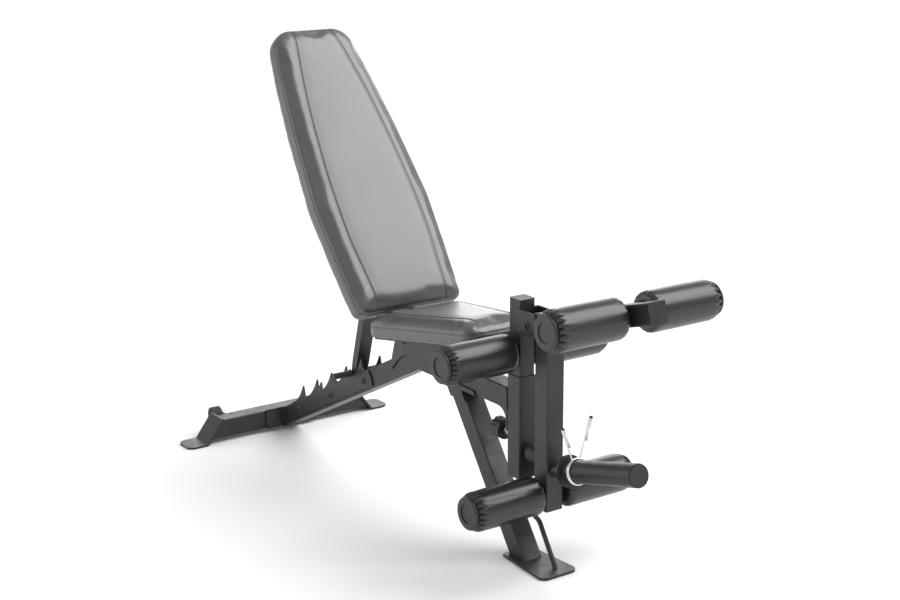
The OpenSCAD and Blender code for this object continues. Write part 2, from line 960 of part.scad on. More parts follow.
// Spring clip: coils round the sleeve and two handles that splay apart
module spring_clip() {
    wire_r = 2.4;
    clip_at = 24;
    turns = 3;
    coil_len = 2 * turns * wire_r;
    slack = 1;
    coil_r = sleeve_r + slack + wire_r;
    handle_z = coil_r + 1;
    spread = 5;
    inset = wire_r + 1;
    color(chrome_grey) placed() on_sleeve() translate([clip_at, 0, 0]) {
        rotate([0, 90, 0]) difference() {
            cylinder(r = coil_r + wire_r, h = coil_len);
            translate([0, 0, -1]) cylinder(r = coil_r - wire_r, h = coil_len + 2);
        }
        rod_between([inset, -spread, handle_z], [inset - 8, -22, handle_z + 62], wire_r);
        rod_between([coil_len - inset, spread, handle_z], [coil_len + 8, 38, handle_z + 76], wire_r);
    }
}

rear_stabilizer();
foot_plate_left();
foot_plate_right();
saddle_bracket();
wheel_brackets();
wheel_bolts();
transport_wheel_left();
transport_wheel_right();
spine_tube();
ladder_plate_left();
ladder_plate_right();
frame_bolts();
hinge_cheek_left();
hinge_cheek_right();
hinge_bolt();
seat_beam();
front_leg();
leg_gussets();
front_foot();
lifting_bar();
receiver_tube();
receiver_plug();
receiver_gussets();
pin_collar();
pull_pin();
seat_pad();
seat_board();
seat_brackets();
seat_bolts();
back_pad();
back_board();
back_rail_left();
back_rail_right();
back_straps();
back_bolts();
strut_axle();
strut();
strut_pin();
insert_post();
post_cap();
pivot_bracket();
pivot_bolt();
knee_rod();
knee_rod_caps();
lever_tube();
arm_tube();
tube_caps();
pivot_bush();
lever_rods();
lever_rod_caps();
bumper();
sleeve_stub();
weight_sleeve();
spring_clip();
knee_roller_left();
knee_roller_right();
arm_roller_left();
arm_roller_right();
ankle_roller_left();
ankle_roller_right();
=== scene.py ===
"""Looks for an adjustable weight bench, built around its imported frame.

The frame holds every rigid part. This script gives each part its finish, and adds the soft
parts (back pad, seat pad, foam rollers), the spring clip's coil and the weld beads.
"""

from __future__ import annotations

import json
import logging
import math
import random
from dataclasses import dataclass, field
from enum import Enum

import bmesh
import bpy
import numpy as np
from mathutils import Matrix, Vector
from mathutils.bvhtree import BVHTree

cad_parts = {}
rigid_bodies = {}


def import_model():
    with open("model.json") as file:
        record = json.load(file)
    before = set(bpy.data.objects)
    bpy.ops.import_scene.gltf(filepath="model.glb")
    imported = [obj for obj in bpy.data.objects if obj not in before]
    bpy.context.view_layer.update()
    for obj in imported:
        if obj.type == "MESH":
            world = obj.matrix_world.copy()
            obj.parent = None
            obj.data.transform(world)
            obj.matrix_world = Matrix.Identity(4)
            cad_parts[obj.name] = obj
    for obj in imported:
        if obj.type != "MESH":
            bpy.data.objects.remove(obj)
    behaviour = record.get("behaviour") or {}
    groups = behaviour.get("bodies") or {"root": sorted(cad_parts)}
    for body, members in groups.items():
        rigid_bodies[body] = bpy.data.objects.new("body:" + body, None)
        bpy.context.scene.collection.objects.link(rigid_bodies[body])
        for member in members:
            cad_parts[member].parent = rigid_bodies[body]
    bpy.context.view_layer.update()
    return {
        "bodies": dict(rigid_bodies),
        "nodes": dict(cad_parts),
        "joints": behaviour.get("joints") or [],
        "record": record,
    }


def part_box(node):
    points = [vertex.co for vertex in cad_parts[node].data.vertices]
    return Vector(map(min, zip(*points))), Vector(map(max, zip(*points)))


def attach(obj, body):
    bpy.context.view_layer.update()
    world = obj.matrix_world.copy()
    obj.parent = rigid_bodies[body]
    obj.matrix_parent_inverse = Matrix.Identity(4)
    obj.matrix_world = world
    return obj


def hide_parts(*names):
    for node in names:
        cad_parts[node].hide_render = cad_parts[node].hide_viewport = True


LOG = logging.getLogger("bench")
MM = 0.001
POST_BEHIND_PIVOT = 0.0566
SMOOTH_ANGLE = math.radians(24)


# --- Shader building -------------------------------------------------------------------------


class Value:
    """A shader value that can be used in Python arithmetic; each operation adds a Math node."""

    def __init__(self, shader: "Shader", socket: bpy.types.NodeSocket) -> None:
        """Wraps one output socket of a shader."""
        self.shader = shader
        self.socket = socket

    def _math(self, operation: str, first: object, second: object = 0.0) -> "Value":
        """Adds one Math node and returns its result."""
        node = self.shader.node("ShaderNodeMath", {"operation": operation}, {0: first, 1: second})
        return Value(self.shader, node.outputs[0])

    def __add__(self, other: object) -> "Value":
        """Returns self + other."""
        return self._math("ADD", self, other)

    __radd__ = __add__

    def __sub__(self, other: object) -> "Value":
        """Returns self - other."""
        return self._math("SUBTRACT", self, other)

    def __rsub__(self, other: object) -> "Value":
        """Returns other - self."""
        return self._math("SUBTRACT", other, self)

    def __mul__(self, other: object) -> "Value":
        """Returns self * other."""
        return self._math("MULTIPLY", self, other)

    __rmul__ = __mul__

    def ramp(self, low: float, high: float, out_low: float = 0.0, out_high: float = 1.0) -> "Value":
        """Maps the value from low..high to out_low..out_high, clamped and smooth at both ends."""
        node = self.shader.node(
            "ShaderNodeMapRange",
            {"interpolation_type": "SMOOTHSTEP"},
            {"Value": self, "From Min": low, "From Max": high, "To Min": out_low, "To Max": out_high},
        )
        return Value(self.shader, node.outputs["Result"])


class Shader:
    """One node-based material around a Principled BSDF."""

    def __init__(self, name: str) -> None:
        """Starts an empty material.

        Args:
            name: the material's name.
        """
        self.material = bpy.data.materials.new(name)
        self.material.use_nodes = True
        self.tree = self.material.node_tree
        self.tree.nodes.clear()
        self.bsdf = self.tree.nodes.new("ShaderNodeBsdfPrincipled")
        output = self.tree.nodes.new("ShaderNodeOutputMaterial")
        self.tree.links.new(self.bsdf.outputs[0], output.inputs["Surface"])

    def node(self, kind: str, settings: dict, inputs: dict) -> bpy.types.Node:
        """Adds a node.

        Args:
            kind: the node's type name.
            settings: attributes that are set before the inputs.
            inputs: socket name or index, and the number, colour or Value it gets.

        Returns:
            The new node.
        """
        node = self.tree.nodes.new(kind)
        for key, value in settings.items():
            setattr(node, key, value)
        for key, value in inputs.items():
            self.feed(node.inputs[key], value)
        return node

    def feed(self, socket: bpy.types.NodeSocket, value: object) -> None:
        """Links a Value to a socket, or sets the socket to a constant.

        Args:
            socket: the input that is fed.
            value: a Value, an output socket, a number or a colour.
        """
        if isinstance(value, Value):
            self.tree.links.new(value.socket, socket)
        elif isinstance(value, bpy.types.NodeSocket):
            self.tree.links.new(value, socket)
        else:
            socket.default_value = value

    def place(self) -> bpy.types.NodeSocket:
        """Returns the object coordinates, in metres in the bench's own frame."""
        return self.node("ShaderNodeTexCoord", {}, {}).outputs["Object"]

    def noise(self, scale: float, detail: float = 3.0, rough: float = 0.5) -> Value:
        """Returns a noise pattern from 0 to 1 with scale features per metre."""
        inputs = {"Vector": self.place(), "Scale": scale, "Detail": detail, "Roughness": rough}
        return Value(self, self.node("ShaderNodeTexNoise", {}, inputs).outputs[0])

    def cells(self, scale: float, feature: str = "F1") -> Value:
        """Returns the distance pattern of a cellular texture with scale cells per metre."""
        inputs = {"Vector": self.place(), "Scale": scale}
        return Value(self, self.node("ShaderNodeTexVoronoi", {"feature": feature}, inputs).outputs[0])

    def mix(self, amount: Value, low: tuple, high: tuple) -> bpy.types.NodeSocket:
        """Mixes two colours.

        Args:
            amount: the share of the second colour, from 0 to 1.
            low: the first colour.
            high: the second colour.

        Returns:
            The mixed colour's socket.
        """
        node = self.node("ShaderNodeMix", {"data_type": "RGBA"}, {0: amount})
        node.inputs[6].default_value = (*low, 1.0)
        node.inputs[7].default_value = (*high, 1.0)
        return node.outputs[2]

    def bump(self, height: Value, distance: float, strength: float = 1.0) -> None:
        """Feeds the surface normal from a height pattern in metres times distance."""
        node = self.node("ShaderNodeBump", {}, {"Height": height, "Distance": distance, "Strength": strength})
        self.feed(self.bsdf.inputs["Normal"], node.outputs[0])

    def set(self, **inputs: object) -> None:
        """Sets inputs of the BSDF; an underscore in a name stands for a space."""
        for key, value in inputs.items():
            self.feed(self.bsdf.inputs[key.replace("_", " ")], value)


# --- Finishes --------------------------------------------------------------------------------


@dataclass(frozen=True)
class PowderCoat:
    """Textured paint on steel, with a little dust and polish from handling."""

    dark: tuple = (0.015, 0.0142, 0.0142)
    light: tuple = (0.025, 0.024, 0.024)
    rough: tuple = (0.36, 0.48)

    def build(self, name: str) -> bpy.types.Material:
        """Builds the material.

        Args:
            name: the material's name.

        Returns:
            The material.
        """
        shader = Shader(name)
        cloud = shader.noise(9.0, 4.0)
        texture = shader.noise(1500.0, 2.0)
        peel = shader.cells(700.0, "SMOOTH_F1")
        wear = shader.noise(42.0, 5.0, 0.65)
        tone = (cloud * 0.65 + texture * 0.35).ramp(0.25, 0.75)
        shader.set(
            Base_Color=shader.mix(tone, self.dark, self.light),
            Roughness=wear.ramp(0.3, 0.7, *self.rough),
            IOR=1.5,
            Specular_IOR_Level=0.5,
        )
        shader.bump(texture * 0.6 + peel * 0.4, 0.00016, 0.45)
        return shader.material


@dataclass(frozen=True)
class Vinyl:
    """Grained upholstery vinyl."""

    dark: tuple
    light: tuple
    rough: tuple
    grain: float = 620.0
    depth: float = 0.00022
    index: float = 1.5
    coat: float = 0.0

    def build(self, name: str) -> bpy.types.Material:
        """Builds the material.

        Args:
            name: the material's name.

        Returns:
            The material.
        """
        shader = Shader(name)
        pebbles = shader.cells(self.grain, "F1")
        creases = shader.cells(self.grain * 0.45, "DISTANCE_TO_EDGE")
        fine = shader.noise(self.grain * 3.0, 2.0)
        cloud = shader.noise(11.0, 4.0)
        hollow = pebbles.ramp(0.25, 0.75)
        tone = (cloud * 0.7 + (1.0 - hollow) * 0.3).ramp(0.25, 0.75)
        shader.set(
            Base_Color=shader.mix(tone, self.dark, self.light),
            Roughness=(cloud * 0.7 + hollow * 0.3).ramp(0.25, 0.75, *self.rough),
            IOR=self.index,
            Coat_Weight=self.coat,
            Coat_Roughness=0.25,
        )
        shader.bump((1.0 - pebbles) * 0.6 + creases.ramp(0.0, 0.12) * 0.3 + fine * 0.15, self.depth, 0.5)
        return shader.material


@dataclass(frozen=True)
class Moulded:
    """Moulded plastic or rubber with a fine spark-eroded grain."""

    dark: tuple
    light: tuple
    rough: tuple
    grain: float = 1100.0
    depth: float = 0.00012

    def build(self, name: str) -> bpy.types.Material:
        """Builds the material.

        Args:
            name: the material's name.

        Returns:
            The material.
        """
        shader = Shader(name)
        grain = shader.noise(self.grain, 3.0, 0.6)
        cloud = shader.noise(30.0, 4.0, 0.6)
        scuff = shader.noise(160.0, 6.0, 0.7)
        shader.set(
            Base_Color=shader.mix((cloud * 0.8 + grain * 0.2).ramp(0.3, 0.7), self.dark, self.light),
            Roughness=(scuff * 0.7 + grain * 0.3).ramp(0.3, 0.7, *self.rough),
        )
        shader.bump(grain, self.depth, 0.5)
        return shader.material


@dataclass(frozen=True)
class Metal:
    """Bare or plated metal, with fine brushing or polishing marks."""

    dark: tuple
    light: tuple
    rough: tuple
    marks: float = 900.0
    depth: float = 0.00004
    metallic: float = 1.0

    def build(self, name: str) -> bpy.types.Material:
        """Builds the material.

        Args:
            name: the material's name.

        Returns:
            The material.
        """
        shader = Shader(name)
        fine = shader.noise(self.marks, 3.0, 0.6)
        cloud = shader.noise(70.0, 4.0, 0.6)
        shader.set(
            Base_Color=shader.mix(cloud.ramp(0.3, 0.7), self.dark, self.light),
            Roughness=(fine * 0.5 + cloud * 0.5).ramp(0.3, 0.7, *self.rough),
            Metallic=self.metallic,
        )
        shader.bump(fine, self.depth, 0.4)
        return shader.material


@dataclass(frozen=True)
class Plywood:
    """Stained plywood: long streaks of grain and fine pores."""

    dark: tuple = (0.045, 0.035, 0.028)
    light: tuple = (0.10, 0.075, 0.055)

    def build(self, name: str) -> bpy.types.Material:
        """Builds the material.

        Args:
            name: the material's name.

        Returns:
            The material.
        """
        shader = Shader(name)
        stretch = shader.node("ShaderNodeMapping", {}, {"Vector": shader.place(), "Scale": (0.12, 1.0, 0.12)})
        grain = shader.node(
            "ShaderNodeTexNoise", {}, {"Vector": stretch.outputs[0], "Scale": 160.0, "Detail": 6.0}
        )
        streaks = Value(shader, grain.outputs[0])
        pores = shader.noise(900.0, 2.0)
        shader.set(
            Base_Color=shader.mix(streaks.ramp(0.3, 0.7), self.dark, self.light),
            Roughness=(streaks * 0.6 + pores * 0.4).ramp(0.3, 0.7, 0.55, 0.75),
        )
        shader.bump(streaks * 0.7 + pores * 0.3, 0.0003, 0.5)
        return shader.material


@dataclass(frozen=True)
class Knurl:
    """Blackened steel with a fine raised knurl."""

    pitch: float = 0.0022

    def build(self, name: str) -> bpy.types.Material:
        """Builds the material.

        Args:
            name: the material's name.

        Returns:
            The material.
        """
        shader = Shader(name)
        cells = shader.cells(1.0 / self.pitch, "F1")
        cloud = shader.noise(60.0)
        shader.set(
            Base_Color=shader.mix(cells.ramp(0.2, 0.7), (0.035, 0.034, 0.033), (0.012, 0.012, 0.012)),
            Roughness=cloud.ramp(0.3, 0.7, 0.42, 0.6),
        )
        shader.bump(1.0 - cells, 0.0007, 0.8)
        return shader.material


class Slot(Enum):
    """The record's material slots."""

    PAINT = "powder_coat"
    FASTENER = "black_fastener"
    ZINC = "zinc_steel"
    PLASTIC = "black_plastic"
    RUBBER = "black_rubber"
    PAD = "pad_vinyl"
    ROLLER = "roller_vinyl"
    PLYWOOD = "plywood"
    CHROME = "chrome"


FINISHES = {
    Slot.PAINT: PowderCoat(),
    Slot.FASTENER: Metal((0.010, 0.010, 0.010), (0.018, 0.018, 0.018), (0.22, 0.34), metallic=0.2),
    Slot.ZINC: Metal((0.40, 0.40, 0.40), (0.55, 0.55, 0.56), (0.3, 0.45)),
    Slot.PLASTIC: Moulded((0.013, 0.013, 0.014), (0.022, 0.022, 0.023), (0.36, 0.48)),
    Slot.RUBBER: Moulded((0.009, 0.009, 0.009), (0.017, 0.017, 0.017), (0.5, 0.65), 700.0, 0.0002),
    Slot.PAD: Vinyl((0.044, 0.042, 0.043), (0.062, 0.060, 0.060), (0.32, 0.40), index=1.75, coat=0.35),
    Slot.ROLLER: Vinyl((0.009, 0.009, 0.011), (0.015, 0.015, 0.018), (0.25, 0.33), 800.0, 0.00012, 1.6),
    Slot.PLYWOOD: Plywood(),
    Slot.CHROME: Metal((0.72, 0.72, 0.74), (0.84, 0.84, 0.86), (0.06, 0.12), 1200.0, 0.00001),
}


class Palette:
    """Builds every finish once and hands it out by slot."""

    def __init__(self) -> None:
        """Builds the materials."""
        self.materials = {slot: finish.build(slot.value) for slot, finish in FINISHES.items()}
        self.thread = Moulded((0.10, 0.10, 0.10), (0.17, 0.17, 0.17), (0.5, 0.65), 3000.0).build("thread")
        self.knurl = Knurl().build("knurled_steel")

    def dress(self, piece: bpy.types.Object, slot: Slot) -> None:
        """Gives a piece one slot's finish.

        Args:
            piece: a new piece.
            slot: the slot that it takes its finish from.
        """
        piece.data.materials.clear()
        piece.data.materials.append(self.materials[slot])

    def dress_frame(self, frame: dict) -> None:
        """Gives every CAD node the finish of its slot in the record.

        Args:
            frame: the loaded frame.
        """
        slots = {row["node"]: row["material_slot"] for row in frame["record"]["subparts"]}
        for name, piece in frame["nodes"].items():
            piece.data.materials.clear()
            piece.data.materials.append(self.materials[Slot(slots[name])])


# --- Mesh helpers ----------------------------------------------------------------------------


def new_piece(name: str, verts: list, faces: list, smooth: bool = True) -> bpy.types.Object:
    """Makes an object from points and faces in the bench's frame.

    Args:
        name: the piece's name.
        verts: points in metres.
        faces: tuples of point indices.
        smooth: whether the faces are shaded smooth.

    Returns:
        The linked object, at the origin.
    """
    mesh = bpy.data.meshes.new(name)
    mesh.from_pydata([tuple(v) for v in verts], [], faces)
    mesh.update()
    piece = bpy.data.objects.new(name, mesh)
    bpy.context.scene.collection.objects.link(piece)
    if smooth:
        mesh.shade_smooth()
    return piece


def select_only(piece: bpy.types.Object) -> None:
    """Deselects everything and makes piece the active object.

    Args:
        piece: the object to select.
    """
    bpy.ops.object.select_all(action="DESELECT")
    piece.select_set(True)
    bpy.context.view_layer.objects.active = piece


def apply_modifiers(piece: bpy.types.Object) -> None:
    """Applies every modifier on a piece, in order.

    Args:
        piece: the object that carries them.
    """
    select_only(piece)
    for modifier in list(piece.modifiers):
        bpy.ops.object.modifier_apply(modifier=modifier.name)


def coordinates(piece: bpy.types.Object) -> np.ndarray:
    """Reads a piece's points.

    Args:
        piece: a mesh object.

    Returns:
        One row of x, y and z for each point.
    """
    co = np.empty(len(piece.data.vertices) * 3)
    piece.data.vertices.foreach_get("co", co)
    return co.reshape(-1, 3)


def set_coordinates(piece: bpy.types.Object, co: np.ndarray) -> None:
    """Moves a piece's points."""
    piece.data.vertices.foreach_set("co", co.ravel())
    piece.data.update()


def hull_2d(points: list) -> list:
    """Finds the convex hull of points in a plane.

    Args:
        points: pairs of numbers.

    Returns:
        The hull's corners, counter-clockwise.
    """
    points = sorted(set(points))
    chains = []
    for ordered in (points, points[::-1]):
        chain = []
        for p in ordered:
            while len(chain) > 1:
                (ax, ay), (bx, by) = chain[-2], chain[-1]
                if (bx - ax) * (p[1] - ay) - (by - ay) * (p[0] - ax) > 0:
                    break
                chain.pop()
            chain.append(p)
        chains.append(chain[:-1])
    return chains[0] + chains[1]


def even_loop(points: list, step: float) -> np.ndarray:
    """Resamples a closed loop in a plane at even steps.

    Args:
        points: the loop's corners.
        step: the distance between samples, in metres.

    Returns:
        One row for each sample.
    """
    loop = np.array(points + points[:1])
    lengths = np.concatenate([[0.0], np.cumsum(np.linalg.norm(np.diff(loop, axis=0), axis=1))])
    count = max(8, int(lengths[-1] / step))
    at = np.linspace(0, lengths[-1], count, endpoint=False)
    return np.stack([np.interp(at, lengths, loop[:, 0]), np.interp(at, lengths, loop[:, 1])], axis=1)


def tube_along(
    name: str, points: list, radii: list, sides: int = 10, closed: bool = False
) -> bpy.types.Object:
    """Sweeps a round section along points.

    Args:
        name: the piece's name.
        points: centre points in metres.
        radii: a radius for each point.
        sides: sides of the section.
        closed: whether the last point joins the first.

    Returns:
        The tube, with capped ends unless it is closed.
    """
    pts = [Vector(p) for p in points]
    count = len(pts)
    verts, faces = [], []
    normal = None
    for i, p in enumerate(pts):
        before = pts[i - 1] if i or closed else p
        after = pts[(i + 1) % count] if i < count - 1 or closed else p
        tangent = (after - before).normalized()
        if normal is None:
            normal = tangent.orthogonal().normalized()
        normal = (normal - tangent * normal.dot(tangent)).normalized()
        side = tangent.cross(normal)
        for k in range(sides):
            a = 2 * math.pi * k / sides
            verts.append(p + (normal * math.cos(a) + side * math.sin(a)) * radii[i])
    rings = count if closed else count - 1
    for i in range(rings):
        j = (i + 1) % count
        for k in range(sides):
            m = (k + 1) % sides
            faces.append((i * sides + k, i * sides + m, j * sides + m, j * sides + k))
    if not closed:
        faces.append(tuple(range(sides))[::-1])
        faces.append(tuple((count - 1) * sides + k for k in range(sides)))
    return new_piece(name, verts, faces)


def join_pieces(pieces: list, name: str) -> bpy.types.Object:
    """Joins pieces into one mesh.

    Args:
        pieces: the objects to join.
        name: the name of the result.

    Returns:
        The joined object.
    """
    bpy.ops.object.select_all(action="DESELECT")
    for piece in pieces:
        piece.select_set(True)
    bpy.context.view_layer.objects.active = pieces[0]
    if len(pieces) > 1:
        bpy.ops.object.join()
    pieces[0].name = name
    pieces[0].data.name = name
    return pieces[0]


# --- Cushions --------------------------------------------------------------------------------


@dataclass
class Cushion:
    """An upholstered pad: foam under vinyl, wrapped round a board, with stitched seams.

    Its own axes are s along the pad, y across the bench and r from the sat-on face to the rear.
    """

    name: str
    body: str
    nodes: tuple
    foot: Vector
    along: Vector
    rear: Vector
    circles: list
    seams: list
    depth: float
    rim: float = 0.013
    crown: float = 0.005
    give: float = 0.3
    dome: float = 0.005
    dome_width: float = 0.140
    welt_at: float = 0.018
    voxel: float = 0.005
    fill: float = 0.85
    outline_step: float = 0.006
    arc_points: int = 40
    rim_steps: int = 5
    held_from: float = 0.62
    frames: int = 20
    pressure: float = 4.0
    seam_cut: float = 0.0016
    seam_hollow: float = 0.0011
    crease: float = 0.0016
    corner_reach: float = 0.1
    stitch_pitch: float = 0.0052
    stitch_length: float = 0.0036
    stitch_radius: float = 0.00055
    stitch_offset: float = 0.0030
    piping_radius: float = 0.0014
    loop: np.ndarray = field(init=False)

    def __post_init__(self) -> None:
        """Works out the pad's outline from its corner circles."""
        points = []
        for s, y, radius in self.circles:
            for k in range(self.arc_points):
                a = 2 * math.pi * k / self.arc_points
                points.append((round(s + radius * math.cos(a), 6), round(y + radius * math.sin(a), 6)))
        self.loop = even_loop(hull_2d(points), self.outline_step)

    def to_bench(self, local: np.ndarray) -> np.ndarray:
        """Turns (s, y, r) points into the bench's frame."""
        axes = np.array([self.along, (0.0, 1.0, 0.0), self.rear])
        return np.array(self.foot) + local @ axes

    def inset_loop(self, distance: float) -> np.ndarray:
        """Moves the outline inwards.

        Args:
            distance: how far, in metres.

        Returns:
            The moved outline, one row for each point.
        """
        ahead = np.roll(self.loop, -1, axis=0) - np.roll(self.loop, 1, axis=0)
        ahead /= np.linalg.norm(ahead, axis=1)[:, None]
        inwards = np.stack([-ahead[:, 1], ahead[:, 0]], axis=1)
        return self.loop + inwards * distance

    def block(self) -> bpy.types.Object:
        """Builds the pad's starting solid, with a rounded rim.

        Returns:
            The closed solid, in the pad's own axes.
        """
        rings = []
        for k in range(self.rim_steps + 1):
            a = 0.5 * math.pi * k / self.rim_steps
            rings.append((self.rim * (1 - math.sin(a)), self.rim * (1 - math.cos(a)) + self.crown * 0.5))
        rings.append((0.000, self.depth - 0.004))
        rings.append((0.003, self.depth - 0.001))
        verts, faces = [], []
        count = len(self.loop)
        for inset, r in rings:
            verts += [(s, y, r) for s, y in self.inset_loop(inset)]
        for i in range(len(rings) - 1):
            for k in range(count):
                m = (k + 1) % count
                faces.append((i * count + k, (i + 1) * count + k, (i + 1) * count + m, i * count + m))
        faces.append(tuple(range(count)))
        faces.append(tuple((len(rings) - 1) * count + k for k in range(count))[::-1])
        piece = new_piece(self.name, verts, faces)
        recalculate(piece)
        return piece

    def stuff(self, piece: bpy.types.Object) -> None:
        """Swells the cover over its foam by a cloth simulation, held along the rear.

        Args:
            piece: the starting solid, which is changed in place.
        """
        remesh = piece.modifiers.new("Remesh", "REMESH")
        remesh.mode = "VOXEL"
        remesh.voxel_size = self.voxel
        remesh.use_smooth_shade = True
        smooth = piece.modifiers.new("Smooth", "SMOOTH")
        smooth.iterations = 4
        apply_modifiers(piece)
        start = coordinates(piece)
        held = piece.vertex_groups.new(name="held")
        rows = np.nonzero(start[:, 2] > self.depth * self.held_from)[0]
        held.add([int(i) for i in rows], 1.0, "REPLACE")
        cloth = piece.modifiers.new("Cloth", "CLOTH")
        cloth.settings.quality = 5
        cloth.settings.use_pressure = True
        cloth.settings.uniform_pressure_force = self.pressure
        cloth.settings.vertex_group_mass = "held"
        cloth.settings.effector_weights.gravity = 0.0
        cloth.settings.tension_stiffness = 25.0
        cloth.settings.compression_stiffness = 25.0
        cloth.settings.bending_stiffness = 2.0
        cloth.point_cache.frame_start = 1
        cloth.point_cache.frame_end = self.frames
        for number in range(1, self.frames + 1):
            bpy.context.scene.frame_set(number)
        apply_modifiers(piece)
        bpy.context.scene.frame_set(1)
        piece.vertex_groups.clear()
        moved = coordinates(piece) - start
        moved[:, :2] *= self.give
        reach = np.linalg.norm(moved, axis=1)
        scale = np.tanh(reach / self.crown) * self.crown / np.maximum(reach, 1e-9)
        set_coordinates(piece, start + moved * scale[:, None])
        self.raise_dome(piece)
        relax = piece.modifiers.new("Relax", "SMOOTH")
        relax.iterations = 5
        finer = piece.modifiers.new("Finer", "SUBSURF")
        finer.levels = 1
        finer.render_levels = 1
        apply_modifiers(piece)

    def raise_dome(self, piece: bpy.types.Object) -> None:
        """Rounds the sat-on face up towards its middle.

        Args:
            piece: the pad, which is changed in place.
        """
        co = coordinates(piece)
        edge = self.distance_to(co[:, :2], np.vstack([self.loop, self.loop[:1]]))
        rise = 1 - (1 - np.clip(edge / self.dome_width, 0, 1)) ** 2
        front = np.clip((self.depth * 0.6 - co[:, 2]) / (self.depth * 0.4), 0, 1)
        co[:, 2] -= self.dome * rise * front
        set_coordinates(piece, co)

    def distance_to(self, points: np.ndarray, line: np.ndarray) -> np.ndarray:
        """Measures how far points lie from a line of straight stretches.

        Args:
            points: rows of s and y.
            line: the line's corners, as rows of s and y.

        Returns:
            One distance for each point, in metres.
        """
        best = np.full(len(points), 1e9)
        for a, b in zip(line[:-1], line[1:]):
            ab = b - a
            t = np.clip(((points - a) @ ab) / (ab @ ab), 0, 1)
            best = np.minimum(best, np.linalg.norm(points - (a + t[:, None] * ab), axis=1))
        return best

    def sew(self, piece: bpy.types.Object) -> None:
        """Draws the seams and the crease beside the piping into the swollen pad.

        Args:
            piece: the pad, which is changed in place.
        """
        co = coordinates(piece)
        front = np.clip((self.depth * 0.5 - co[:, 2]) / (self.depth * 0.2), 0, 1)
        for line in self.seams:
            gap = self.distance_to(co[:, :2], line)
            dip = self.seam_cut * np.exp(-((gap / 0.0022) ** 2))
            dip += self.seam_hollow * np.exp(-((gap / 0.016) ** 2))
            co[:, 2] += dip * front
        edge = self.distance_to(co[:, :2], np.vstack([self.loop, self.loop[:1]]))
        side = np.exp(-((edge / 0.006) ** 2))
        crease = np.exp(-(((co[:, 2] - self.welt_at) / 0.0022) ** 2)) * side
        spine = np.clip(co[:, 0], self.corner_reach, self.loop[:, 0].max() - self.corner_reach)
        centre = np.array([spine, np.zeros(len(co))]).T
        inwards = centre - co[:, :2]
        inwards /= np.maximum(np.linalg.norm(inwards, axis=1), 1e-9)[:, None]
        co[:, :2] += inwards * (crease * self.crease)[:, None]
        set_coordinates(piece, co)

    def stitches(self, surface: BVHTree) -> tuple:
        """Sets a row of stitches along both sides of each seam.

        Args:
            surface: the pad's surface, in its own axes.

        Returns:
            The points and the faces of every stitch, in the pad's own axes.
        """
        verts, faces = [], []
        for line in self.seams:
            for offset in (-self.stitch_offset, self.stitch_offset):
                steps = np.diff(line, axis=0)
                lengths = np.concatenate([[0.0], np.cumsum(np.linalg.norm(steps, axis=1))])
                for at in np.arange(self.stitch_pitch, lengths[-1] - self.stitch_pitch, self.stitch_pitch):
                    k = int(np.searchsorted(lengths, at) - 1)
                    ahead = steps[k] / np.linalg.norm(steps[k])
                    p = line[k] + ahead * (at - lengths[k]) + np.array([-ahead[1], ahead[0]]) * offset
                    hit = surface.ray_cast(Vector((p[0], p[1], -0.05)), Vector((0, 0, 1)))
                    if hit[0] is None or hit[0].z > self.depth * 0.6:
                        continue
                    self.add_stitch(verts, faces, hit[0], hit[1], Vector((*ahead, 0.0)))
        return verts, faces

    def add_stitch(self, verts: list, faces: list, at: Vector, up: Vector, ahead: Vector) -> None:
        """Adds one stitch: a short bead that dips into the vinyl at both ends.

        Args:
            verts: points so far, which grow.
            faces: faces so far, which grow.
            at: the stitch's middle on the surface.
            up: the surface's normal there.
            ahead: the seam's direction.
        """
        length, radius = self.stitch_length, self.stitch_radius
        ahead = (ahead - up * ahead.dot(up)).normalized()
        side = up.cross(ahead)
        base = len(verts)
        sides = 5
        rows = ((-0.5, 0.35), (-0.3, 1.0), (0.3, 1.0), (0.5, 0.35))
        for t, swell in rows:
            centre = at + ahead * (t * length) + up * (radius * (0.7 * swell - 0.25))
            for k in range(sides):
                a = 2 * math.pi * k / sides
                verts.append(centre + (side * math.cos(a) + up * math.sin(a)) * radius * swell)
        for row in range(len(rows) - 1):
            for k in range(sides):
                m = (k + 1) % sides
                low, high = base + row * sides, base + (row + 1) * sides
                faces.append((low + k, high + k, high + m, low + m))
        faces.append(tuple(base + k for k in range(sides)))
        faces.append(tuple(base + (len(rows) - 1) * sides + k for k in range(sides))[::-1])

    def welt(self, surface: BVHTree) -> bpy.types.Object:
        """Lays the piping along the pad's edge.

        Args:
            surface: the pad's surface, in its own axes.

        Returns:
            The piping, in the pad's own axes.
        """
        points = []
        for s, y in self.loop:
            spine = min(max(s, self.corner_reach), self.loop[:, 0].max() - self.corner_reach)
            centre = Vector((spine, 0.0, self.welt_at))
            outside = Vector((s, y, self.welt_at))
            outside += (outside - centre).normalized() * 0.03
            hit = surface.ray_cast(outside, (centre - outside).normalized())
            if hit[0] is not None:
                points.append(hit[0] + hit[1] * 0.0004)
        return tube_along(self.name + "_welt", points, [self.piping_radius] * len(points), 8, True)

